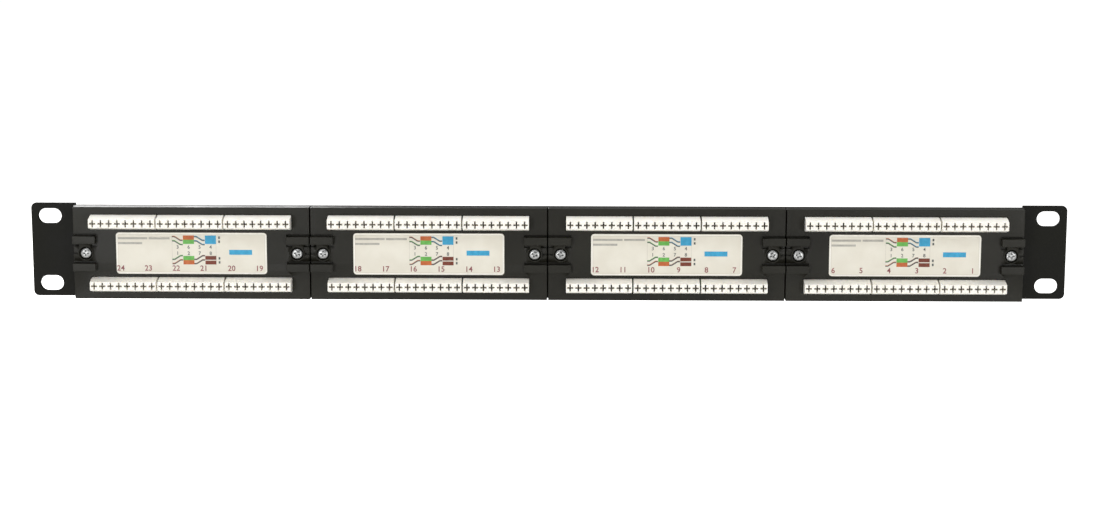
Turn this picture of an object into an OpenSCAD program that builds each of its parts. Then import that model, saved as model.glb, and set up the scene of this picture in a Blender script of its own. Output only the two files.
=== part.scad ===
// Patch panel, one rack unit high, with four wiring modules of six sockets.
// The rear (wiring) side faces -Y, the socket side faces +Y, +Z is up.
// y = 0 is the rear face of the rack ears, and the origin is at the centre of the four rack slots.

/* [Front panel] */
// Width over both rack ears
panel_w = 482.6; // [482:0.1:483]
// Height of the rack ears
panel_h = 44; // [43.6:0.1:44.4]
// Thickness of the folded sheet
sheet_t = 2; // [1.6:0.1:2]
// Height over the two folded flanges behind the modules
body_h = 42.6; // [42.4:0.1:42.8]
// Length of the folded flanges
body_w = 441; // [440.5:0.1:442]
// Distance that the flanges reach back from the ears
flange_depth = 5; // [4:0.1:5]
// Corner radius of the rack ears
ear_r = 2.5; // [1:0.1:4]

/* [Rack slots] */
// Distance between the slots of the two ears
slot_pitch_x = 465.1; // [465.1:0.1:466]
// Distance between the two slots of one ear
slot_pitch_z = 31.75; // [31.5:0.05:32]
// Length of a slot from end to end
slot_l = 10.7; // [9:0.1:12]
// Width of a slot
slot_w = 7; // [6.5:0.1:7.2]

/* [Wiring modules] */
// Distance from one module to the next
module_pitch = 110; // [109.8:0.1:110.2]
// Seam between two rear covers
seam = 0.5; // [0.3:0.1:0.8]
// Height of a rear cover
cover_h = 43; // [42.8:0.1:43.4]
// Distance of the rear cover's face behind the ears
cover_face = 10; // [9.5:0.1:10.5]
// Wall of the rear cover
cover_t = 1.4; // [1.2:0.1:1.6]
// Height of the rails beside the screws above the cover's face
rail_rise = 3; // [2:0.1:3.4]
// Height of the screw bosses above the cover's face
boss_rise = 1; // [0.6:0.1:1.6]
// Distance of the screws from the module's ends
screw_inset = 6; // [5.8:0.1:6.2]

/* [Punch-down blocks] */
// Distance between two wire slots
wire_pitch = 3.81; // [3.78:0.01:3.82]
// Distance between two blocks of a row
block_pitch = 31.2; // [31:0.1:31.3]
// Height of the rows above and below the middle
row_z = 14.6; // [14.4:0.1:14.8]
// Distance of the blocks' crests behind the ears
crest = 16.2; // [15:0.1:17]
// Height of a block's foot
foot_h = 6.6; // [6.4:0.1:7]
// Height of a block's crest
crest_h = 4; // [3.8:0.1:4.4]

/* [Sockets] */
// Distance between two sockets of a module
socket_pitch = 15.6; // [15.4:0.1:15.6]
// Width of a socket
socket_w = 11.9; // [11.7:0.1:12]
// Distance of the sockets' faces in front of the ears' rear
socket_face = 9; // [8:0.1:10]

/* [Label] */
// Width of the wiring label
label_w = 69.9; // [60:0.1:72]
// Height of the wiring label
label_h = 19.4; // [18:0.1:20]

/* [Hidden] */
$fn = 48;
modules = 4;
sockets = 6;               // in each module
blocks = 3;                // in each row of a module
wires = 8;                 // in each socket and in each block
past = 1;                  // how far a cutter runs past what it cuts
fit = 0.15;                // gap round a block where it passes through its cover

// Folded sheet
bend_r = 2.4;              // outer radius of the flange's fold
flange_z = body_h / 2;
skirt_gap = 0.2;           // between a flange and the skirt of the rear cover inside it
skirt_t = 0.8;
skirt_z = flange_z - sheet_t - skirt_gap;
window_gap = 0.3;

// Circuit board and port housing
board_front = -5.4;
board_t = 1.6;
board_back = board_front - board_t;
board_w = 104;
board_h = 2 * (skirt_z - skirt_t - fit);
box_w = 96;                // moulded box that holds the six sockets
box_h = 20;
plate_w = 106;             // plate of the housing behind the front panel
plate_t = 2;
peg_x = 41.6;              // pegs that hold the board off the plate
peg_z = 15.2;
peg_r = 1.8;

// Module screws, and the holes that they pass
screw_x = module_pitch / 2 - screw_inset;
screw_r = 1.2;
screw_tip = -1.2;
screw_head_r = 2.5;
screw_head_t = 1.2;
drive_l = 2.8;             // cross recess in the screw's head
drive_w = 0.6;
drive_depth = 0.9;
bore_r = 1.22;             // thread in the port housing
bore_end = -0.6;
pillar_r = 3.4;            // pillar of the port housing round that thread
board_hole_r = 1.7;
cover_hole_r = 1.5;
recess_r = 3;              // round recess for the head in the rear cover
seat = -0.3;               // height of the head's seat above the cover's face

// Rails, screw boss, grooves and pockets beside them, from the end of a module
cover_end = (module_pitch - seam) / 2;
rail_l = 10.6;
rail_in = 4.6;             // inner edge of a rail, above and below the screw
rail_out = 8.2;            // outer edge of a rail
boss_from = 2.7;           // the screw boss meets the upper rail between these two
boss_to = 7.9;
boss_r = 3.6;
pocket_h = 1.4;            // deep pockets under the upper rail, beside the boss
pocket_wall = 0.4;         // what they leave of the cover's wall
groove_w = 0.9;
top_groove_w = 0.6;        // over the upper rail
groove_depth = 0.9;
scribe_w = 0.6;            // thin groove from the screw boss to the module's end

// Punch-down blocks and their blades
block_l = wires * wire_pitch;
block_shoulder = 11;       // where a block's foot ends and its crest starts
wire_slot_w = 0.65;
wire_slot_h = 3.4;
wire_slot_depth = 5;
blade_slot_w = 2.8;
blade_slot_h = 0.8;
blade_w = 2.6;
blade_t = 0.5;
blade_reach = crest - 1;
blade_slit = 0.35;         // between the two tines that grip a wire

// Sockets and their contact wires
socket_top = 4.2;
socket_floor = -3;
socket_back = -4;
latch_w = 6.2;             // two steps under a socket's floor for the plug's latch
latch_floor = -4.6;
tongue_w = 4;
tongue_floor = -5.9;
comb_top = 5.2;            // groove over each socket for the wires' tails
comb_w = 8.6;
comb_front = 6.2;
contact_pitch = 1.02;
contact_t = 0.35;
pivot_y = 5.3;             // where the spring wires start to bend
pivot_z = 4;
spring_l = 8;
spring_slope = 17.5;
tail_low = 4.5;            // height of the tails' underside
tail_end_y = 5.8;
tail_end_z = 4.3;

// Label
label_t = 0.15;
label_r = 1.5;

// Module 1 is at +X, so that its sockets are 1 to 6 from the socket side's left.
function module_x(m) = module_pitch * ((modules + 1) / 2 - m);
function socket_x(n) = socket_pitch * ((sockets + 1) / 2 - n);
function wire_x(k, pitch) = pitch * (k - (wires - 1) / 2);

// Extrudes an outline drawn in X and Z, from y = front back to y = back.
module from_to(front, back) {
    translate([0, front, 0]) rotate([90, 0, 0]) linear_extrude(front - back) children();
}

// A box given by its lowest and its highest corner.
module block(low, high) {
    translate(low) cube(high - low);
}

// A rectangle with true round corners.
module round_rect(w, h, r) {
    square([w - 2 * r, h], center = true);
    square([w, h - 2 * r], center = true);
    for (x = [-1, 1], z = [-1, 1])
        translate([x * (w / 2 - r), z * (h / 2 - r)]) circle(r);
}

// The outline of the sheet: full-height ears, and a lower middle that ends where the folds start.
module sheet_outline() {
    difference() {
        round_rect(panel_w, panel_h, ear_r);
        for (s = [-1, 1])
            translate([0, s * (flange_z - bend_r + panel_h / 2)]) square([body_w, panel_h], center = true);
    }
}

// One flange and its fold, as an outline in Y and Z for the upper edge.
module fold_outline() {
    fold_y = sheet_t - bend_r;
    fold_z = flange_z - bend_r;
    translate([-flange_depth, flange_z - sheet_t]) square([flange_depth + fold_y, sheet_t]);
    intersection() {
        translate([fold_y, fold_z]) circle(bend_r);
        translate([fold_y, fold_z]) square(bend_r);
    }
}

module rack_slots() {
    for (x = [-1, 1], z = [-1, 1])
        translate([x * slot_pitch_x / 2, z * slot_pitch_z / 2]) {
            square([slot_l - slot_w, slot_w], center = true);
            for (end = [-1, 1]) translate([end * (slot_l - slot_w) / 2, 0]) circle(slot_w / 2);
        }
}

module front_panel() {
    color("#26251f")
    difference() {
        union() {
            from_to(sheet_t, 0) sheet_outline();
            for (s = [0, 1])
                mirror([0, 0, s])
                    rotate([90, 0, 90])
                        translate([0, 0, -body_w / 2])
                            linear_extrude(body_w) fold_outline();
        }
        from_to(sheet_t + past, -past) rack_slots();
        for (m = [1:modules])
            translate([module_x(m), 0, 0])
                from_to(sheet_t + past, -past)
                    square([box_w + 2 * window_gap, box_h + 2 * window_gap], center = true);
    }
}

// One step of a socket's opening, from its own floor to the socket's top.
module step_outline(w, floor_z) {
    translate([-w / 2, floor_z]) square([w, socket_top - floor_z]);
}

// The opening of one socket: the plug's body, and under it two steps for the plug's latch.
module socket_outline() {
    step_outline(socket_w, socket_floor);
    step_outline(latch_w, latch_floor);
    step_outline(tongue_w, tongue_floor);
}

module port_housing(m) {
    color("#1c1c1b")
    translate([module_x(m), 0, 0])
    difference() {
        union() {
            from_to(0, -plate_t) square([plate_w, board_h], center = true);
            from_to(socket_face, board_front) square([box_w, box_h], center = true);
            for (x = [-1, 1]) {
                translate([x * screw_x, 0, 0]) from_to(-plate_t / 2, board_front) circle(pillar_r);
                for (z = [-1, 1])
                    translate([x * peg_x, 0, z * peg_z]) from_to(-plate_t / 2, board_front) circle(peg_r);
            }
        }
        for (n = [1:sockets])
            translate([socket_x(n), 0, 0]) {
                from_to(socket_face + past, socket_back) socket_outline();
                block([-comb_w / 2, board_front - past, pivot_z], [comb_w / 2, comb_front, comb_top]);
            }
        for (x = [-1, 1])
            translate([x * screw_x, 0, 0]) from_to(bore_end, board_front - past) circle(bore_r);
    }
}

module circuit_board(m) {
    color("#2d6b3c")
    translate([module_x(m), 0, 0])
    from_to(board_front, board_back)
    difference() {
        square([board_w, board_h], center = true);
        for (x = [-1, 1]) translate([x * screw_x, 0]) circle(board_hole_r);
    }
}

// Both rails at the module's end at +X, as an outline in X and Z.
module rail_outline() {
    for (z = [rail_in, -rail_out])
        translate([cover_end - rail_l, z]) square([rail_l, rail_out - rail_in]);
}

// The screw boss at the same end, which meets the upper rail.
module boss_outline() {
    translate([cover_end - boss_to, 0]) square([boss_to - boss_from, rail_in]);
    translate([screw_x, 0]) circle(boss_r);
}

// Grooves at the same end: over the upper rail, along the lower rail, and a thin one from the boss
// to the module's end.
module groove_outline() {
    inner_x = cover_end - rail_l;
    translate([inner_x, rail_out]) square([rail_l + past, top_groove_w]);
    translate([inner_x, -rail_in]) square([rail_l + past, groove_w]);
    translate([cover_end - boss_from, -scribe_w / 2]) square([boss_from + past, scribe_w]);
}

// Two pockets at the same end, under the upper rail on either side of the boss.
module pocket_outline() {
    translate([cover_end - rail_l, rail_in - pocket_h]) square([rail_l - boss_to, pocket_h]);
    translate([cover_end - boss_from, rail_in - pocket_h]) square([boss_from + past, pocket_h]);
}

module rear_cover(m) {
    cover_w = 2 * cover_end;
    join = 0.1;            // the face and the skirt overlap by this much
    color("#2e2d29")
    translate([module_x(m), 0, 0])
    difference() {
        union() {
            from_to(-flange_depth - join, -cover_face) square([cover_w, cover_h], center = true);
            from_to(-skirt_gap, -flange_depth - 2 * join) square([cover_w, 2 * skirt_z], center = true);
            for (s = [0, 1])
                mirror([s, 0, 0]) {
                    from_to(-cover_face, -cover_face - rail_rise) rail_outline();
                    from_to(-cover_face, -cover_face - boss_rise) boss_outline();
                }
        }
        from_to(0, -cover_face + cover_t)
            square([cover_w - 2 * cover_t, 2 * (skirt_z - skirt_t)], center = true);
        for (s = [-1, 1])
            translate([0, 0, s * row_z])
                from_to(0, -cover_face - past)
                    square([2 * block_pitch + block_l + 2 * fit, foot_h + 2 * fit], center = true);
        for (s = [0, 1])
            mirror([s, 0, 0]) {
                from_to(-cover_face + groove_depth, -cover_face) groove_outline();
                from_to(-cover_face + cover_t - pocket_wall, -cover_face) pocket_outline();
                translate([screw_x, 0, 0]) from_to(0, -cover_face - rail_rise - past) circle(cover_hole_r);
                translate([screw_x, 0, 0])
                    from_to(-cover_face - seat, -cover_face - rail_rise - past) circle(recess_r);
            }
    }
}

module wiring_label(m) {
    color("#e8e4d8")
    translate([module_x(m), 0, 0])
    from_to(-cover_face, -cover_face - label_t) round_rect(label_w, label_h, label_r);
}

// Cross-section of a punch-down block, as an outline in Y and Z.
module block_outline() {
    polygon([
        [board_back, foot_h / 2], [-block_shoulder, foot_h / 2], [-crest, crest_h / 2],
        [-crest, -crest_h / 2], [-block_shoulder, -foot_h / 2], [board_back, -foot_h / 2]
    ]);
}

// A block with a slot for each wire, and a slot across it for that wire's blade.
module punch_down_block() {
    difference() {
        rotate([90, 0, 90]) translate([0, 0, -block_l / 2]) linear_extrude(block_l) block_outline();
        for (k = [0:wires - 1])
            translate([wire_x(k, wire_pitch), 0, 0]) {
                from_to(wire_slot_depth - crest, -crest - past)
                    square([wire_slot_w, wire_slot_h], center = true);
                from_to(board_back + past, -crest - past)
                    square([blade_slot_w, blade_slot_h], center = true);
            }
    }
}

module idc_blocks(m, side) {
    color("#f3ece2")
    for (b = [0:blocks - 1])
        translate([module_x(m) + block_pitch * (b - 1), 0, side * row_z]) punch_down_block();
}

// One blade: a flat fork whose two tines grip a wire.
module idc_blade() {
    difference() {
        from_to(board_back, -blade_reach) square([blade_w, blade_t], center = true);
        from_to(wire_slot_depth - crest, -blade_reach - past)
            square([blade_slit, blade_t + past], center = true);
    }
}

module idc_blades(m) {
    color("#c9c4b4")
    for (side = [-1, 1], b = [0:blocks - 1], k = [0:wires - 1])
        translate([module_x(m) + block_pitch * (b - 1) + wire_x(k, wire_pitch), 0, side * row_z])
            idc_blade();
}

// A tail seen from the side, in Y and Z: along the groove from the board, then down to the spring.
module tail_outline() {
    translate([board_front, tail_low]) square([tail_end_y - board_front, contact_t]);
    translate([tail_end_y - contact_t, tail_end_z]) square([contact_t, tail_low + contact_t - tail_end_z]);
}

// The fixed stretch of each contact wire, from the board to the bend above the socket.
module contact_tails(m) {
    color("#d9b25a")
    for (n = [1:sockets], k = [0:wires - 1])
        translate([module_x(m) + socket_x(n) + wire_x(k, contact_pitch) - contact_t / 2, 0, 0])
            rotate([90, 0, 90]) linear_extrude(contact_t) tail_outline();
}

// The free arms of one socket's eight contact wires, which a plug lifts together.
module contact_springs(p) {
    m = ceil(p / sockets);
    n = p - (m - 1) * sockets;
    color("#e0b95f")
    for (k = [0:wires - 1])
        translate([module_x(m) + socket_x(n) + wire_x(k, contact_pitch), pivot_y, pivot_z])
            rotate([spring_slope, 0, 0]) {
                block([-contact_t / 2, -spring_l, -contact_t / 2], [contact_t / 2, 0, contact_t / 2]);
                rotate([0, 90, 0]) cylinder(h = contact_t, r = contact_t / 2, center = true);
            }
}

module module_screws() {
    head_front = -cover_face - seat;
    head_back = head_front - screw_head_t;
    color("#c8c8c6")
    for (m = [1:modules], x = [-1, 1])
        translate([module_x(m) + x * screw_x, 0, 0])
            difference() {
                union() {
                    from_to(head_front, head_back) circle(screw_head_r);
                    from_to(screw_tip, head_front) circle(screw_r);
                }
                from_to(head_back + drive_depth, head_back - past) {
                    square([drive_w, drive_l], center = true);
                    square([drive_l, drive_w], center = true);
                }
            }
}

front_panel();
module_screws();
for (m = [1:modules]) {
    port_housing(m);
    circuit_board(m);
    rear_cover(m);
    wiring_label(m);
    idc_blocks(m, 1);
    idc_blocks(m, -1);
    idc_blades(m);
    contact_tails(m);
}
for (p = [1:modules * sockets])
    contact_springs(p);
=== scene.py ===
"""A one-unit patch panel on a pale floor, seen from its wiring side, where the punch-down blocks are."""

import math
import random

import bmesh
import bpy
from mathutils import Matrix, Vector


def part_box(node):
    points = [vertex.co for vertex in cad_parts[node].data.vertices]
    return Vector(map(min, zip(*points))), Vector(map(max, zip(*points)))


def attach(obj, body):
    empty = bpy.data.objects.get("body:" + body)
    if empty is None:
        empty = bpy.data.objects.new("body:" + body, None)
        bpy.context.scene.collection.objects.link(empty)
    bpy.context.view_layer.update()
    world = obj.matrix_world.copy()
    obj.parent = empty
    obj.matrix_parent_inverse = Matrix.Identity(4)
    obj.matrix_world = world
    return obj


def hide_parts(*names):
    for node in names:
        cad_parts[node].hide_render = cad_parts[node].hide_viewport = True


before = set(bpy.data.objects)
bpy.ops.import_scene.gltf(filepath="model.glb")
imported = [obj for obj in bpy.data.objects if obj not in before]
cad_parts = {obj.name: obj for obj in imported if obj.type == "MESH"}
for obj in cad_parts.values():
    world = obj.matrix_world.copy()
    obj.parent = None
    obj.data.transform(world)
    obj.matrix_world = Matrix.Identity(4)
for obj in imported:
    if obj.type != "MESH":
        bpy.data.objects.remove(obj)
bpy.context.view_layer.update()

MM = 0.001
MODULES = 4
SOCKETS_IN_MODULE = 6
WIRES = 8


# ---------------------------------------------------------------- places, from the frame


def middle(node_name):
    """The centre of a CAD node's box."""
    low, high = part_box(node_name)
    return (low + high) / 2


LABEL_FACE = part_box("wiring_label_1")[0].y
PANEL_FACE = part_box("front_panel")[1].y
MODULE_PITCH = middle("rear_cover_1").x - middle("rear_cover_2").x
FOLD_END = MODULES * MODULE_PITCH / 2


# ---------------------------------------------------------------- colours and nodes


def linear(hex_colour):
    """An sRGB hex colour as linear red, green and blue, with a full alpha."""
    parts = [int(hex_colour[i : i + 2], 16) / 255 for i in (1, 3, 5)]
    parts = [c / 12.92 if c <= 0.04045 else ((c + 0.055) / 1.055) ** 2.4 for c in parts]
    return (*parts, 1.0)


def add(tree, kind, values=None, links=None, **settings):
    """Adds a node: settings are its properties, values its inputs, links what feeds its inputs."""
    made = tree.nodes.new(kind)
    for name, value in settings.items():
        setattr(made, name, value)
    for name, value in (values or {}).items():
        made.inputs[name].default_value = value
    for name, source in (links or {}).items():
        tree.links.new(source, made.inputs[name])
    return made


def blank(name):
    """A new material, its emptied tree, and the object's own coordinates in metres."""
    material = bpy.data.materials.new(name)
    material.use_nodes = True
    tree = material.node_tree
    tree.nodes.clear()
    place = add(tree, "ShaderNodeTexCoord").outputs["Object"]
    return material, tree, place


def per_metre(size_mm):
    """The texture scale whose features are size_mm across."""
    return 1 / (size_mm * MM)


# Inputs of a colour Mix node: its factor and its two colours.
FACTOR, FIRST, SECOND = 0, 6, 7
# A noise texture spends nearly all its values between these two.
NOISE_SPAN = {"From Min": 0.34, "From Max": 0.66}


def black_powder_coat():
    """Polyester powder coat over steel: near black and satin, with a fine orange peel."""
    material, tree, place = blank("black_powder_coat")
    cloud = add(tree, "ShaderNodeTexNoise", {"Scale": per_metre(18), "Detail": 4.0}, {"Vector": place})
    patch = add(tree, "ShaderNodeMapRange", NOISE_SPAN, {"Value": cloud.outputs["Fac"]}).outputs["Result"]
    colour = add(
        tree,
        "ShaderNodeMix",
        {FIRST: linear("#0f0f0b"), SECOND: linear("#161610")},
        {FACTOR: patch},
        data_type="RGBA",
    )
    gloss = add(tree, "ShaderNodeMapRange", {"To Min": 0.42, "To Max": 0.5}, {"Value": patch})
    # Real orange peel is about 0.5 mm across; 1.2 mm is the finest that still shows.
    peel = add(tree, "ShaderNodeTexNoise", {"Scale": per_metre(1.2), "Detail": 3.0}, {"Vector": place})
    skin = add(tree, "ShaderNodeBump", {"Distance": 0.05 * MM}, {"Height": peel.outputs["Fac"]})
    shader = add(
        tree,
        "ShaderNodeBsdfPrincipled",
        {"IOR": 1.5, "Specular IOR Level": 0.12},
        {
            "Base Color": colour.outputs[2],
            "Roughness": gloss.outputs["Result"],
            "Normal": skin.outputs["Normal"],
        },
    )
    add(tree, "ShaderNodeOutputMaterial", links={"Surface": shader.outputs["BSDF"]})
    return material


def spark_textured_abs():
    """Black ABS moulded against a spark-eroded tool: matt and slightly warm, with a fine even grain."""
    material, tree, place = blank("spark_textured_abs")
    cloud = add(tree, "ShaderNodeTexNoise", {"Scale": per_metre(25), "Detail": 4.0}, {"Vector": place})
    patch = add(tree, "ShaderNodeMapRange", NOISE_SPAN, {"Value": cloud.outputs["Fac"]}).outputs["Result"]
    # The real grain is about 0.1 mm; 0.7 mm is the finest that still shows.
    grain = add(
        tree,
        "ShaderNodeTexNoise",
        {"Scale": per_metre(0.7), "Detail": 2.0, "Roughness": 0.6},
        {"Vector": place},
    )
    colour = add(
        tree,
        "ShaderNodeMix",
        {FIRST: linear("#1c1b15"), SECOND: linear("#22211a")},
        {FACTOR: patch},
        data_type="RGBA",
    )
    gloss = add(tree, "ShaderNodeMapRange", {"To Min": 0.36, "To Max": 0.44}, {"Value": patch})
    skin = add(tree, "ShaderNodeBump", {"Distance": 0.03 * MM}, {"Height": grain.outputs["Fac"]})
    shader = add(
        tree,
        "ShaderNodeBsdfPrincipled",
        {"IOR": 1.52, "Specular IOR Level": 0.22},
        {
            "Base Color": colour.outputs[2],
            "Roughness": gloss.outputs["Result"],
            "Normal": skin.outputs["Normal"],
        },
    )
    add(tree, "ShaderNodeOutputMaterial", links={"Surface": shader.outputs["BSDF"]})
    return material


def socket_pbt():
    """Black glass-filled PBT of the socket housings: smoother than the covers, with faint flow marks."""
    material, tree, place = blank("socket_pbt")
    cloud = add(tree, "ShaderNodeTexNoise", {"Scale": per_metre(12), "Detail": 4.0}, {"Vector": place})
    patch = add(tree, "ShaderNodeMapRange", NOISE_SPAN, {"Value": cloud.outputs["Fac"]}).outputs["Result"]
    # Flow marks fan out over some 9 mm where the melt meets, and they bend, so the noise is distorted.
    flow = add(
        tree,
        "ShaderNodeTexNoise",
        {"Scale": per_metre(9), "Detail": 5.0, "Distortion": 0.8},
        {"Vector": place},
    )
    colour = add(
        tree,
        "ShaderNodeMix",
        {FIRST: linear("#151514"), SECOND: linear("#1e1e1c")},
        {FACTOR: patch},
        data_type="RGBA",
    )
    marks = flow.outputs["Fac"]
    gloss = add(tree, "ShaderNodeMapRange", {"To Min": 0.34, "To Max": 0.46}, {"Value": marks})
    skin = add(tree, "ShaderNodeBump", {"Distance": 0.03 * MM}, {"Height": marks})
    shader = add(
        tree,
        "ShaderNodeBsdfPrincipled",
        {"IOR": 1.57},
        {
            "Base Color": colour.outputs[2],
            "Roughness": gloss.outputs["Result"],
            "Normal": skin.outputs["Normal"],
        },
    )
    add(tree, "ShaderNodeOutputMaterial", links={"Surface": shader.outputs["BSDF"]})
    return material


def ivory_polycarbonate():
    """Ivory white polycarbonate of the punch-down blocks: satin, and faintly see-through when thin."""
    material, tree, place = blank("ivory_polycarbonate")
    cloud = add(tree, "ShaderNodeTexNoise", {"Scale": per_metre(5), "Detail": 4.0}, {"Vector": place})
    patch = add(tree, "ShaderNodeMapRange", NOISE_SPAN, {"Value": cloud.outputs["Fac"]}).outputs["Result"]
    grain = add(tree, "ShaderNodeTexNoise", {"Scale": per_metre(1), "Detail": 2.0}, {"Vector": place})
    colour = add(
        tree,
        "ShaderNodeMix",
        {FIRST: linear("#faf6ec"), SECOND: linear("#fffcf4")},
        {FACTOR: patch},
        data_type="RGBA",
    )
    gloss = add(tree, "ShaderNodeMapRange", {"To Min": 0.36, "To Max": 0.46}, {"Value": patch})
    skin = add(tree, "ShaderNodeBump", {"Distance": 0.02 * MM}, {"Height": grain.outputs["Fac"]})
    shader = add(
        tree,
        "ShaderNodeBsdfPrincipled",
        {
            "IOR": 1.58,
            "Subsurface Weight": 0.06,
            "Subsurface Radius": (1.0, 0.75, 0.5),
            "Subsurface Scale": 0.8 * MM,
        },
        {
            "Base Color": colour.outputs[2],
            "Roughness": gloss.outputs["Result"],
            "Normal": skin.outputs["Normal"],
        },
    )
    add(tree, "ShaderNodeOutputMaterial", links={"Surface": shader.outputs["BSDF"]})
    return material


def label_film():
    """White vinyl film under a matt laminate: cream rather than paper white, and very slightly uneven."""
    material, tree, place = blank("label_film")
    cloud = add(tree, "ShaderNodeTexNoise", {"Scale": per_metre(8), "Detail": 4.0}, {"Vector": place})
    patch = add(tree, "ShaderNodeMapRange", NOISE_SPAN, {"Value": cloud.outputs["Fac"]}).outputs["Result"]
    # Glue under the film leaves low humps about 2.5 mm apart.
    humps = add(tree, "ShaderNodeTexNoise", {"Scale": per_metre(2.5), "Detail": 3.0}, {"Vector": place})
    colour = add(
        tree,
        "ShaderNodeMix",
        {FIRST: linear("#e1dcce"), SECOND: linear("#e7e3d6")},
        {FACTOR: patch},
        data_type="RGBA",
    )
    gloss = add(tree, "ShaderNodeMapRange", {"To Min": 0.42, "To Max": 0.52}, {"Value": patch})
    skin = add(tree, "ShaderNodeBump", {"Distance": 0.02 * MM}, {"Height": humps.outputs["Fac"]})
    shader = add(
        tree,
        "ShaderNodeBsdfPrincipled",
        {"IOR": 1.46},
        {
            "Base Color": colour.outputs[2],
            "Roughness": gloss.outputs["Result"],
            "Normal": skin.outputs["Normal"],
        },
    )
    add(tree, "ShaderNodeOutputMaterial", links={"Surface": shader.outputs["BSDF"]})
    return material


def screen_ink(name, thin, full):
    """Screen-printed ink: matt, and a little thinner in small patches."""
    material, tree, place = blank(name)
    # The screen's own mesh is 0.1 mm; patches of 1.6 mm are what shows.
    cloud = add(tree, "ShaderNodeTexNoise", {"Scale": per_metre(1.6), "Detail": 2.0}, {"Vector": place})
    patch = add(tree, "ShaderNodeMapRange", NOISE_SPAN, {"Value": cloud.outputs["Fac"]}).outputs["Result"]
    colour = add(
        tree,
        "ShaderNodeMix",
        {FIRST: linear(full), SECOND: linear(thin)},
        {FACTOR: patch},
        data_type="RGBA",
    )
    gloss = add(tree, "ShaderNodeMapRange", {"To Min": 0.42, "To Max": 0.52}, {"Value": patch})
    shader = add(
        tree,
        "ShaderNodeBsdfPrincipled",
        {"IOR": 1.46},
        {"Base Color": colour.outputs[2], "Roughness": gloss.outputs["Result"]},
    )
    add(tree, "ShaderNodeOutputMaterial", links={"Surface": shader.outputs["BSDF"]})
    return material


def bright_zinc():
    """Steel screws in bright zinc: pale silver, with turning marks round the head and tumbled dents."""
    material, tree, place = blank("bright_zinc")
    # Turning marks about 0.35 mm apart, round the screw's own axis, Y.
    rings = add(
        tree,
        "ShaderNodeTexWave",
        {"Scale": per_metre(0.35) / (2 * math.pi), "Distortion": 0.6, "Detail": 1.0},
        {"Vector": place},
        wave_type="RINGS",
        rings_direction="Y",
    )
    dents = add(tree, "ShaderNodeTexNoise", {"Scale": per_metre(0.9), "Detail": 3.0}, {"Vector": place})
    patch = add(tree, "ShaderNodeMapRange", NOISE_SPAN, {"Value": dents.outputs["Fac"]}).outputs["Result"]
    colour = add(
        tree,
        "ShaderNodeMix",
        {FIRST: linear("#a2a3a3"), SECOND: linear("#c5c6c5")},
        {FACTOR: patch},
        data_type="RGBA",
    )
    gloss = add(tree, "ShaderNodeMapRange", {"To Min": 0.3, "To Max": 0.45}, {"Value": patch})
    turned_skin = add(tree, "ShaderNodeBump", {"Distance": 0.006 * MM}, {"Height": rings.outputs["Fac"]})
    skin = add(
        tree,
        "ShaderNodeBump",
        {"Distance": 0.03 * MM},
        {"Height": dents.outputs["Fac"], "Normal": turned_skin.outputs["Normal"]},
    )
    shader = add(
        tree,
        "ShaderNodeBsdfPrincipled",
        {"Metallic": 1.0},
        {
            "Base Color": colour.outputs[2],
            "Roughness": gloss.outputs["Result"],
            "Normal": skin.outputs["Normal"],
        },
    )
    add(tree, "ShaderNodeOutputMaterial", links={"Surface": shader.outputs["BSDF"]})
    return material


def plated_bronze(name, dull, bright, polish):
    """Plated spring bronze, drawn or stamped: tin on the blades and a gold flash on the socket wires."""
    material, tree, place = blank(name)
    cloud = add(tree, "ShaderNodeTexNoise", {"Scale": per_metre(1.2), "Detail": 3.0}, {"Vector": place})
    patch = add(tree, "ShaderNodeMapRange", NOISE_SPAN, {"Value": cloud.outputs["Fac"]}).outputs["Result"]
    colour = add(
        tree,
        "ShaderNodeMix",
        {FIRST: linear(dull), SECOND: linear(bright)},
        {FACTOR: patch},
        data_type="RGBA",
    )
    gloss = add(tree, "ShaderNodeMapRange", {"To Min": polish, "To Max": polish + 0.12}, {"Value": patch})
    shader = add(
        tree,
        "ShaderNodeBsdfPrincipled",
        {"Metallic": 1.0},
        {"Base Color": colour.outputs[2], "Roughness": gloss.outputs["Result"]},
    )
    add(tree, "ShaderNodeOutputMaterial", links={"Surface": shader.outputs["BSDF"]})
    return material


def solder_mask():
    """Green solder mask over glass laminate: glossy, with the weave showing faintly through."""
    material, tree, place = blank("solder_mask")
    # The yarns of the glass cloth lie about 0.5 mm apart; 1.2 mm is the finest that still shows.
    weave = add(
        tree,
        "ShaderNodeTexWave",
        {"Scale": per_metre(1.2) / (2 * math.pi), "Distortion": 0.4},
        {"Vector": place},
        bands_direction="DIAGONAL",
    )
    cloud = add(tree, "ShaderNodeTexNoise", {"Scale": per_metre(6), "Detail": 4.0}, {"Vector": place})
    patch = add(tree, "ShaderNodeMapRange", NOISE_SPAN, {"Value": cloud.outputs["Fac"]}).outputs["Result"]
    colour = add(
        tree,
        "ShaderNodeMix",
        {FIRST: linear("#1f5a30"), SECOND: linear("#2b6f3d")},
        {FACTOR: patch},
        data_type="RGBA",
    )
    gloss = add(tree, "ShaderNodeMapRange", {"To Min": 0.25, "To Max": 0.35}, {"Value": patch})
    skin = add(tree, "ShaderNodeBump", {"Distance": 0.01 * MM}, {"Height": weave.outputs["Fac"]})
    shader = add(
        tree,
        "ShaderNodeBsdfPrincipled",
        {"IOR": 1.5, "Coat Weight": 0.3},
        {
            "Base Color": colour.outputs[2],
            "Roughness": gloss.outputs["Result"],
            "Normal": skin.outputs["Normal"],
        },
    )
    add(tree, "ShaderNodeOutputMaterial", links={"Surface": shader.outputs["BSDF"]})
    return material


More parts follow.
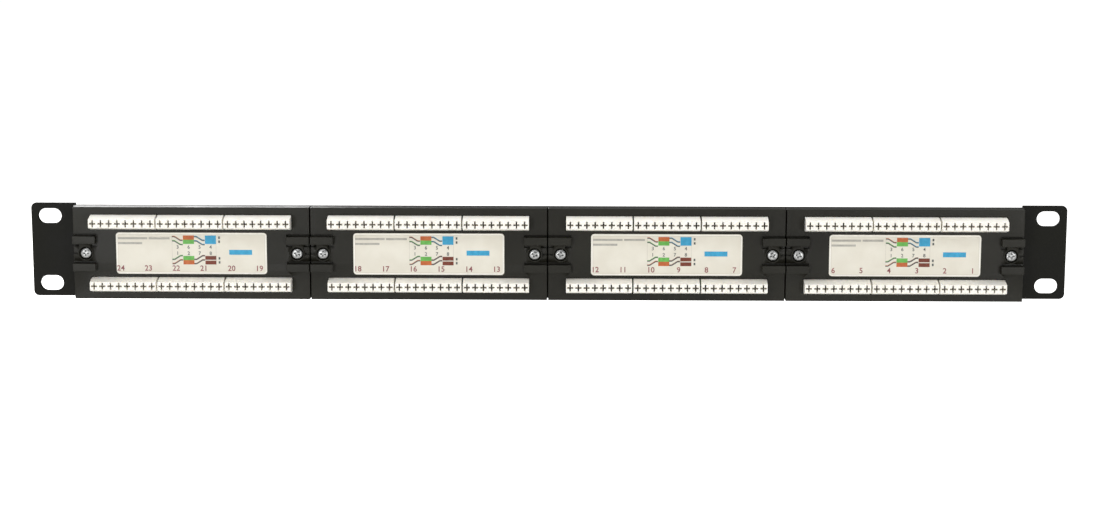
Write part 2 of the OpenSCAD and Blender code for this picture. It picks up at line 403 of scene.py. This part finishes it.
def pale_floor():
    """A matt, pale studio floor, lit from below so that it reads as a plain white sweep."""
    material, tree, place = blank("pale_floor")
    cloud = add(tree, "ShaderNodeTexNoise", {"Scale": per_metre(900)}, {"Vector": place})
    colour = add(
        tree,
        "ShaderNodeMix",
        {FIRST: linear("#f2f1ef"), SECOND: linear("#f6f5f3")},
        {FACTOR: cloud.outputs["Fac"]},
        data_type="RGBA",
    )
    eye = add(tree, "ShaderNodeLightPath").outputs["Is Camera Ray"]
    glow = add(tree, "ShaderNodeMath", {1: 0.85}, {0: eye}, operation="MULTIPLY")
    shader = add(
        tree,
        "ShaderNodeBsdfPrincipled",
        {"Roughness": 0.9, "Emission Color": (1.0, 1.0, 1.0, 1.0)},
        {"Base Color": colour.outputs[2], "Emission Strength": glow.outputs["Value"]},
    )
    add(tree, "ShaderNodeOutputMaterial", links={"Surface": shader.outputs["BSDF"]})
    return material


FINISHES = {
    "black_enamel": black_powder_coat(),
    "cover_black": spark_textured_abs(),
    "housing_black": socket_pbt(),
    "block_white": ivory_polycarbonate(),
    "label_film": label_film(),
    "board_green": solder_mask(),
    "zinc_plate": bright_zinc(),
    # The tin's two tones are darkened far below bright tin. This is painted shade, standing in for the
    # shade down in the blocks' wire slots.
    "blade_tin": plated_bronze("tinned_bronze_painted_shade", "#625e55", "#888276", 0.4),
    "contact_gold": plated_bronze("gold_flash", "#c08a35", "#e0ae55", 0.2),
}
INKS = {
    "faint": screen_ink("faint_ink", "#d3cec2", "#c7c2b6"),
    "grey": screen_ink("grey_ink", "#b9b6ad", "#aaa79f"),
    "dark": screen_ink("dark_ink", "#5d625e", "#474d4a"),
    "red": screen_ink("muted_red_ink", "#99585a", "#84484b"),
    "orange": screen_ink("orange_ink", "#c56a36", "#b75a2a"),
    "green": screen_ink("green_ink", "#6dbb58", "#5fa94a"),
    "blue": screen_ink("blue_ink", "#3aa5cf", "#2e97c2"),
    "brown": screen_ink("brown_ink", "#7b3a28", "#6a2f1d"),
    "white": screen_ink("white_ink", "#d9d8d4", "#eceae6"),
    # Painted highlight: a lighter ink for the band along each label's edge, where the label's rim catches
    # the light.
    "margin": screen_ink("painted_edge_highlight", "#efece2", "#f4f1e8"),
}


# ---------------------------------------------------------------- making pieces


def place_piece(name, mesh, slot_name, body="panel", stands_for=(), finishes=None, at=(0, 0, 0)):
    """Links a mesh as a piece, with its finish, its body and the CAD nodes that it stands for."""
    piece = bpy.data.objects.new(name, mesh)
    piece.location = at
    bpy.context.scene.collection.objects.link(piece)
    for finish in finishes or [FINISHES[slot_name]]:
        mesh.materials.append(finish)
    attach(piece, body)
    if stands_for:
        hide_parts(*stands_for)
    return piece


def settled_mesh(work, name):
    """The mesh of a finished bmesh, with its faces turned outwards."""
    bmesh.ops.recalc_face_normals(work, faces=work.faces)
    mesh = bpy.data.meshes.new(name)
    work.to_mesh(mesh)
    work.free()
    return mesh


def smooth(piece, angle=40):
    """Smooth shading, with sharp edges kept above an angle and even normals on the flat faces."""
    piece.data.shade_smooth()
    piece.data.set_sharp_from_angle(angle=math.radians(angle))
    even = piece.modifiers.new("even_normals", "WEIGHTED_NORMAL")
    even.keep_sharp = True
    even.weight = 100


def level_faces(work, planes, plane_of):
    """Puts back on its own plane each flat face that a bevel's end has lifted at a corner."""
    same_plane = math.radians(8)
    work.normal_update()
    for face in work.faces:
        normal, spot = planes[face[plane_of]]
        if face.normal.angle(normal, math.pi) < same_plane:
            for vert in face.verts:
                vert.co -= normal * (vert.co - spot).dot(normal)
    bmesh.ops.dissolve_degenerate(work, dist=0.001 * MM, edges=work.edges)


def softened(node_name, slot_name, radius_mm, segments=2, keep=lambda edge: False):
    """Replaces a CAD node by a copy with rounded edges, as moulding, stamping or coating leaves them."""
    work = bmesh.new()
    work.from_mesh(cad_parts[node_name].data)
    bmesh.ops.remove_doubles(work, verts=work.verts, dist=0.002 * MM)
    bmesh.ops.dissolve_limit(work, angle_limit=math.radians(0.5), verts=work.verts, edges=work.edges)
    corners = [
        e
        for e in work.edges
        if len(e.link_faces) == 2 and e.is_convex and e.calc_face_angle() > math.radians(35) and not keep(e)
    ]
    plane_of = work.faces.layers.int.new("plane")
    planes = []
    for face in work.faces:
        face[plane_of] = len(planes)
        planes.append((face.normal.copy(), face.verts[0].co.copy()))
    bmesh.ops.bevel(
        work,
        geom=corners,
        offset=radius_mm * MM,
        offset_type="OFFSET",
        segments=segments,
        profile=0.5,
        affect="EDGES",
        clamp_overlap=False,
    )
    level_faces(work, planes, plane_of)
    most_corners = 8
    many_sided = [f for f in work.faces if len(f.verts) > most_corners]
    bmesh.ops.triangulate(work, faces=many_sided, ngon_method="BEAUTY")
    piece = place_piece(
        node_name + "_finished", settled_mesh(work, node_name), slot_name, stands_for=[node_name]
    )
    smooth(piece)
    return piece


def at_fold_end(edge):
    """Whether an edge runs round the cut end of a folded flange, which is left sharp."""
    return all(abs(abs(v.co.x) - FOLD_END) < 1.2 * MM for v in edge.verts)


def under_boss(edge):
    """Whether an edge is the mouth of the groove just under the screw bosses, which is left sharp too."""
    low, high = -4.7 * MM, -3.6 * MM
    return all(low < v.co.z < high and v.co.y > LABEL_FACE for v in edge.verts)


softened("front_panel", "black_enamel", 0.5, 3, at_fold_end)
for m in range(1, MODULES + 1):
    softened(f"rear_cover_{m}", "cover_black", 0.25, keep=under_boss)
    softened(f"port_housing_{m}", "housing_black", 0.25)
    for side in ("upper", "lower"):
        softened(f"idc_blocks_{m}_{side}", "block_white", 0.12)
    softened(f"wiring_label_{m}", "label_film", 0.04, 1)


# ---------------------------------------------------------------- module screws


SCREW_LOW, SCREW_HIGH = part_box("module_screws")
SCREW_HEAD_R = (SCREW_HIGH.z - SCREW_LOW.z) / 2
SCREW_INSET = FOLD_END - (SCREW_HIGH.x - SCREW_HEAD_R)


def turned(work, outline, steps):
    """Turns an outline of (radius, y) points, in mm, about the Y axis."""
    rings = []
    for radius, y in outline:
        turns = [2 * math.pi * k / steps for k in range(steps if radius else 1)]
        rings.append(
            [work.verts.new((radius * MM * math.cos(t), y * MM, radius * MM * math.sin(t))) for t in turns]
        )
    for one, other in zip(rings, rings[1:]):
        for k in range(steps):
            after = (k + 1) % steps
            corners = [one[k % len(one)], one[after % len(one)]]
            corners += [other[after % len(other)], other[k % len(other)]]
            work.faces.new(list(dict.fromkeys(corners)))


def screw_mesh():
    """A pan-head screw along Y, with its head's crown at y = 0 and its tip at +Y."""
    head, head_t, shank, lead = SCREW_HEAD_R / MM, 1.2, 1.2, 0.5
    length = (SCREW_HIGH.y - SCREW_LOW.y) / MM
    work = bmesh.new()
    turned(
        work,
        [
            (0, 0),
            (1.2, 0.04),
            (1.9, 0.15),
            (head - 0.2, 0.32),
            (head - 0.05, 0.52),
            (head, 0.75),
            (head - 0.05, head_t - 0.1),
            (head - 0.2, head_t),
            (shank, head_t),
            (shank, length - lead),
            (shank - 0.4, length),
            (0, length),
        ],
        40,
    )
    return settled_mesh(work, "screw")


def recess_mesh():
    """The cutter for the cross recess: two crossed wedges that narrow towards the bottom."""
    mouth = (-0.3, 1.85, 0.5)
    bottom = (1.0, 0.6, 0.22)
    work = bmesh.new()
    for turn in (0, math.pi / 2):
        wedge = []
        for y, reach, half in (mouth, bottom):
            for x, z in ((-reach, -half), (reach, -half), (reach, half), (-reach, half)):
                spot = Matrix.Rotation(turn, 3, "Y") @ Vector((x, y, z))
                wedge.append(work.verts.new(spot * MM))
        for face in ((0, 1, 2, 3), (7, 6, 5, 4), (0, 4, 5, 1), (1, 5, 6, 2), (2, 6, 7, 3), (3, 7, 4, 0)):
            work.faces.new([wedge[i] for i in face])
    return settled_mesh(work, "recess")


def cut(mesh, cutter_mesh):
    """The mesh with the cutter taken out of it."""
    whole = bpy.data.objects.new("whole", mesh)
    cutter = bpy.data.objects.new("cutter", cutter_mesh)
    for temporary in (whole, cutter):
        bpy.context.scene.collection.objects.link(temporary)
    boolean = whole.modifiers.new("cut", "BOOLEAN")
    boolean.operation = "DIFFERENCE"
    boolean.solver = "EXACT"
    boolean.use_self = True
    boolean.object = cutter
    bpy.context.view_layer.update()
    result = bpy.data.meshes.new_from_object(whole.evaluated_get(bpy.context.evaluated_depsgraph_get()))
    for temporary in (whole, cutter):
        bpy.data.objects.remove(temporary)
    return result


def module_screws():
    """Eight screws, each left at its own angle, as a driver leaves them."""
    angles = random.Random(8)
    cut_screw = cut(screw_mesh(), recess_mesh())
    for number in range(1, 2 * MODULES + 1):
        cover = middle(f"rear_cover_{(number + 1) // 2}")
        end = -1 if number % 2 else 1
        mesh = cut_screw.copy()
        mesh.transform(Matrix.Rotation(math.radians(angles.uniform(0, 90)), 4, "Y"))
        place = (cover.x + end * (MODULE_PITCH / 2 - SCREW_INSET), SCREW_LOW.y, 0)
        piece = place_piece(
            f"module_screw_{number}", mesh, "zinc_plate", stands_for=["module_screws"], at=place
        )
        smooth(piece, 35)


module_screws()


# ---------------------------------------------------------------- contact wires in the sockets


WIRE_R = 0.16 * MM
CAD_WIRE_T = 0.35 * MM


def swept_wire(work, x, path, sides=8):
    """A round wire along a path of (y, z) points at one x, with a rounded nose at each end."""
    count = len(path)
    rings = []
    for k, (y, z) in enumerate(path):
        before, after = path[max(k - 1, 0)], path[min(k + 1, count - 1)]
        along = Vector((after[0] - before[0], after[1] - before[1])).normalized()
        radius = WIRE_R * (0.55 if k in (0, count - 1) else 1)
        ring = []
        for turn in (2 * math.pi * s / sides for s in range(sides)):
            out = radius * math.cos(turn)
            ring.append(work.verts.new((x + radius * math.sin(turn), y - along.y * out, z + along.x * out)))
        rings.append(ring)
    for one, other in zip(rings, rings[1:]):
        for s in range(sides):
            work.faces.new([one[s], one[(s + 1) % sides], other[(s + 1) % sides], other[s]])
    work.faces.new(rings[0])
    work.faces.new(rings[-1][::-1])


def socket_wires(port):
    """One socket's eight spring wires, and the tails that lead back from their bends to the board."""
    low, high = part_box(f"contact_springs_{port}")
    module = (port - 1) // SOCKETS_IN_MODULE + 1
    tail_low, tail_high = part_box(f"contact_tails_{module}")
    pivot = Vector((high.y - CAD_WIRE_T / 2, high.z - CAD_WIRE_T / 2))
    tip = Vector((low.y, low.z + CAD_WIRE_T / 2))
    tail_z = tail_high.z - CAD_WIRE_T / 2
    bend_r = (tail_z - pivot.y) / 2
    curl = Vector((0.0, 0.12 * MM))
    springs, tails = bmesh.new(), bmesh.new()
    for wire in range(WIRES):
        x = low.x + CAD_WIRE_T / 2 + wire * (high.x - low.x - CAD_WIRE_T) / (WIRES - 1)
        arm = [pivot.lerp(tip, part) for part in (0, 0.03, 0.3, 0.6, 0.85)]
        arm += [pivot.lerp(tip, 0.94) + curl, tip + 3 * curl]
        swept_wire(springs, x, arm)
        bend = [
            (pivot.x + bend_r * math.sin(turn), tail_z - bend_r * (1 - math.cos(turn)))
            for turn in (math.pi * k / 8 for k in range(9))
        ]
        swept_wire(tails, x, [(tail_low.y, tail_z), (tail_low.y + WIRE_R, tail_z), *bend])
    arms = place_piece(
        f"contact_wires_{port}",
        settled_mesh(springs, "wires"),
        "contact_gold",
        body=f"springs_{port}",
        stands_for=[f"contact_springs_{port}"],
    )
    fixed = place_piece(
        f"contact_wire_tails_{port}",
        settled_mesh(tails, "tails"),
        "contact_gold",
        stands_for=[f"contact_tails_{module}"],
    )
    smooth(arms, 60)
    smooth(fixed, 60)


for port in range(1, MODULES * SOCKETS_IN_MODULE + 1):
    socket_wires(port)


# ---------------------------------------------------------------- print on the labels and on the panel


class Print:
    """Flat printed shapes, in mm right and up from a centre as the reader sees them, raised by the ink."""

    INK_T = 0.012 * MM
    LAYER_T = 0.0004 * MM

    def __init__(self, centre, face_y, reader_side):
        """The reader stands on the -Y side (reader_side -1) or on the +Y side (1) of the face."""
        self.centre = Vector((centre.x, face_y, centre.z))
        self.side = reader_side
        self.work = bmesh.new()
        self.inks = []
        self.layers = 0

    def next_thickness(self):
        """Each shape is a hair thicker than the last, so that no two printed faces lie in one plane."""
        self.layers += 1
        return self.INK_T + self.layers * self.LAYER_T

    def ink_index(self, ink_name):
        if ink_name not in self.inks:
            self.inks.append(ink_name)
        return self.inks.index(ink_name)

    def shape(self, points, ink_name):
        """A convex shape from its corners, right and up."""
        thickness = self.next_thickness()
        rings = [
            [
                self.work.verts.new(self.centre + Vector((-self.side * u * MM, self.side * y, v * MM)))
                for u, v in points
            ]
            for y in (0, thickness)
        ]
        count = len(points)
        faces = [self.work.faces.new(rings[0]), self.work.faces.new(rings[1][::-1])]
        for k in range(count):
            after = (k + 1) % count
            faces.append(self.work.faces.new([rings[0][k], rings[0][after], rings[1][after], rings[1][k]]))
        for face in faces:
            face.material_index = self.ink_index(ink_name)

    def bar(self, left, low, right, high, ink_name):
        self.shape([(left, low), (right, low), (right, high), (left, high)], ink_name)

    def stroke(self, points, width, ink_name):
        """A printed line of that width through the points."""
        for (u0, v0), (u1, v1) in zip(points, points[1:]):
            along = Vector((u1 - u0, v1 - v0)).normalized()
            across = Vector((-along.y, along.x)) * width / 2
            self.shape(
                [
                    (u0 - across.x, v0 - across.y),
                    (u1 - across.x, v1 - across.y),
                    (u1 + across.x, v1 + across.y),
                    (u0 + across.x, v0 + across.y),
                ],
                ink_name,
            )

    def number(self, value, right, up, height, ink_name):
        """A printed number centred on that place."""
        thickness = self.next_thickness()
        text = bpy.data.curves.new("digits", "FONT")
        text.body = str(value)
        text.align_x = "CENTER"
        text.align_y = "CENTER"
        text.size = height * MM / 0.7
        text.offset = 0.018 * height * MM
        text.extrude = thickness / 2
        text.resolution_u = 3
        holder = bpy.data.objects.new("digits", text)
        bpy.context.scene.collection.objects.link(holder)
        bpy.context.view_layer.update()
        mesh = bpy.data.meshes.new_from_object(holder.evaluated_get(bpy.context.evaluated_depsgraph_get()))
        bpy.data.objects.remove(holder)
        spot = self.centre + Vector((-self.side * right * MM, self.side * thickness / 2, up * MM))
        facing = Matrix.Rotation(math.pi if self.side > 0 else 0, 4, "Z")
        mesh.transform(Matrix.Translation(spot) @ facing @ Matrix.Rotation(math.pi / 2, 4, "X"))
        known = len(self.work.faces)
        self.work.from_mesh(mesh)
        self.work.faces.ensure_lookup_table()
        for face in self.work.faces[known:]:
            face.material_index = self.ink_index(ink_name)

    def finish(self, name, slot_name):
        return place_piece(
            name, settled_mesh(self.work, name), slot_name, finishes=[INKS[i] for i in self.inks]
        )


def striped_wires(sheet, left, top, falls, colours):
    """One cell of the wiring chart: two slanting wires, each a coloured band with a dark edge."""
    width, drop, pitch = 4.95, 1.75, 2.0
    band, edge = 0.44, 0.46
    for row, colour in enumerate(colours):
        start = top - row * pitch
        end = start - drop if falls else start + drop
        first_bend, second_bend = left + 0.22 * width, left + 0.78 * width
        knees = [(left, start), (first_bend, start), (second_bend, end), (left + width, end)]
        sheet.stroke(knees, band, colour)
        sheet.stroke([(u, v - band / 2) for u, v in knees], edge, "dark")


def wiring_chart(sheet):
    """The colour chart: four coloured cells, four striped ones, and the wires' numbers between."""
    left, cell = -8.95, 5.1
    top, bottom, band = 8.4, -5.2, 4.0
    rule_w, half_gap = 0.16, 0.2
    upper_row, lower_row, digit_height = 2.9, 0.0, 1.6
    edges = [left + cell * k for k in range(5)]
    for u in (edges[0], edges[4]):
        sheet.stroke([(u, bottom), (u, top)], rule_w, "faint")
    upper_half, lower_half = top - band / 2, bottom + band / 2
    sheet.bar(edges[1], upper_half, edges[2], top, "orange")
    sheet.bar(edges[1], top - band, edges[2], upper_half, "green")
    sheet.bar(edges[3], top - band, edges[4], top, "blue")
    sheet.bar(edges[1], lower_half, edges[2], bottom + band, "green")
    sheet.bar(edges[1], bottom, edges[2], lower_half, "orange")
    sheet.bar(edges[3], lower_half + half_gap, edges[4], bottom + band, "brown")
    sheet.bar(edges[3], bottom, edges[4], lower_half - half_gap, "brown")
    striped_wires(sheet, edges[0], top - 0.4, True, ["orange", "green"])
    striped_wires(sheet, edges[2], top - 0.4, True, ["blue", "blue"])
    striped_wires(sheet, edges[0], bottom + 2.5, False, ["green", "orange"])
    striped_wires(sheet, edges[2], bottom + 2.5, False, ["brown", "brown"])
    for column, (upper, lower) in enumerate(((3, 1), (6, 2), (5, 7), (4, 8))):
        middle_u = (edges[column] + edges[column + 1]) / 2
        sheet.number(upper, middle_u, upper_row, digit_height, "dark")
        sheet.number(lower, middle_u, lower_row, digit_height, "dark")


def heading(sheet):
    """Plain rules where a heading would be: two on its first line, one on its second."""
    left, height = -34.0, 0.95
    for start, length, up in ((0, 13.6, 7.0), (14.3, 9.6, 7.0), (0, 11.2, 4.7)):
        sheet.bar(left + start, up - height / 2, left + start + length, up + height / 2, "grey")


def rounded_frame(width, height, inset, corner_r=1.5, steps=4):
    """A closed path that follows a label's edge at an inset, in mm, round its corners too."""
    radius = max(corner_r - inset, 0.2)
    path = []
    for side, (u, v) in enumerate(((1, 1), (-1, 1), (-1, -1), (1, -1))):
        centre_u, centre_v = u * (width / 2 - inset - radius), v * (height / 2 - inset - radius)
        for k in range(steps + 1):
            turn = math.pi / 2 * (side + k / steps)
            path.append((centre_u + radius * math.cos(turn), centre_v + radius * math.sin(turn)))
    return path + path[:1]


def label_border(sheet, width, height):
    """A light margin along the label's edge, a painted highlight standing in for the light that the label's
    rim catches, and a hairline inside it.
    """
    margin_inset, margin_w = 0.45, 0.7
    hairline_inset, hairline_w = 0.9, 0.14
    sheet.stroke(rounded_frame(width, height, margin_inset), margin_w, "margin")
    sheet.stroke(rounded_frame(width, height, hairline_inset), hairline_w, "faint")


def label_print(m):
    """The print of module m's label: border, heading, chart, a plain blue bar and the sockets' numbers."""
    low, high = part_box(f"wiring_label_{m}")
    sheet = Print(middle(f"wiring_label_{m}"), LABEL_FACE, -1)
    label_border(sheet, (high.x - low.x) / MM, (high.z - low.z) / MM)
    heading(sheet)
    wiring_chart(sheet)
    mark_left, mark_right, half_mark = 12.5, 13.3, 0.55
    for up in (7.4, 5.5, -2.3, -4.2):
        sheet.bar(mark_left, up - half_mark, mark_right, up + half_mark, "dark")
    sheet.bar(17.5, -0.6, 28.1, 1.7, "blue")
    last_right, number_pitch, number_up, number_height = -33.0, 12.87, -7.1, 2.5
    for n in range(1, SOCKETS_IN_MODULE + 1):
        right = last_right + (SOCKETS_IN_MODULE - n) * number_pitch
        sheet.number((m - 1) * SOCKETS_IN_MODULE + n, right, number_up, number_height, "red")
    sheet.finish(f"label_print_{m}", "label_film")


def port_numbers():
    """White numbers over the sockets, on the panel's front."""
    sheet = Print(Vector((0, 0, 0)), PANEL_FACE, 1)
    for port in range(1, MODULES * SOCKETS_IN_MODULE + 1):
        sheet.number(port, -middle(f"contact_springs_{port}").x / MM, 14.2, 3.0, "white")
    sheet.finish("port_numbers", "black_enamel")


for m in range(1, MODULES + 1):
    label_print(m)
port_numbers()


# ---------------------------------------------------------------- CAD nodes that keep their own shape


for node_name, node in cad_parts.items():
    for prefix, slot_name in (("circuit_board", "board_green"), ("idc_blades", "blade_tin")):
        if node_name.startswith(prefix):
            node.data.materials.clear()
            node.data.materials.append(FINISHES[slot_name])


# ---------------------------------------------------------------- floor, light and camera


# Each soft box: its place in metres, its width and height, and its power in watts.
SOFT_BOXES = {
    "left_box": ((-0.6, -1.4, -0.05), (0.34, 0.6), 5.4),
    "right_box": ((0.68, -1.4, -0.05), (0.34, 0.6), 4.6),
    "key_box": ((-0.2, -1.5, 1.9), (1.6, 0.8), 20),
    "top_box": ((0, 0.5, 1.9), (2.4, 2.4), 34),
    "back_box": ((-0.75, 1.7, 0.37), (0.9, 0.6), 9),
}


def studio():
    """A pale floor below the panel, an even pale sky, and soft boxes round the panel and above it."""
    bpy.ops.mesh.primitive_plane_add(size=60, location=(0, 0, -0.25))
    floor = bpy.context.object
    floor.name = "floor"
    floor.data.materials.append(pale_floor())
    world = bpy.data.worlds.new("studio")
    bpy.context.scene.world = world
    world.use_nodes = True
    tree = world.node_tree
    tree.nodes.clear()
    eye = add(tree, "ShaderNodeLightPath").outputs["Is Camera Ray"]
    strength = add(tree, "ShaderNodeMapRange", {"To Min": 0.2, "To Max": 1.0}, {"Value": eye})
    sky = add(
        tree,
        "ShaderNodeBackground",
        {"Color": (1.0, 1.0, 1.0, 1.0)},
        {"Strength": strength.outputs["Result"]},
    )
    add(tree, "ShaderNodeOutputWorld", links={"Surface": sky.outputs["Background"]})
    for name, (spot, (width, height), power) in SOFT_BOXES.items():
        lamp = bpy.data.lights.new(name, "AREA")
        lamp.shape = "RECTANGLE"
        lamp.size = width
        lamp.size_y = height
        lamp.energy = power
        holder = bpy.data.objects.new(name, lamp)
        holder.location = spot
        holder.rotation_euler = (-Vector(spot)).to_track_quat("-Z", "Y").to_euler()
        bpy.context.scene.collection.objects.link(holder)


def camera():
    """Level with a reader of the labels: a metre back from the wiring side and a little above it."""
    distance = 1.0806
    yaw, pitch, roll = math.radians(-0.68), math.radians(9.53), math.radians(0.088)
    looks_at = Vector((0.98, 0, -3.77)) * MM
    ahead = Vector((math.sin(yaw) * math.cos(pitch), math.cos(yaw) * math.cos(pitch), -math.sin(pitch)))
    lens = bpy.data.cameras.new("camera")
    lens.sensor_width = 36
    lens.lens = 75.71
    lens.clip_end = 100
    holder = bpy.data.objects.new("camera", lens)
    holder.location = looks_at - ahead * distance
    level = ahead.to_track_quat("-Z", "Y").to_matrix()
    holder.rotation_euler = (level @ Matrix.Rotation(roll, 3, "Z")).to_euler()
    bpy.context.scene.collection.objects.link(holder)
    bpy.context.scene.camera = holder


studio()
camera()
bpy.context.scene.view_settings.view_transform = "Standard"
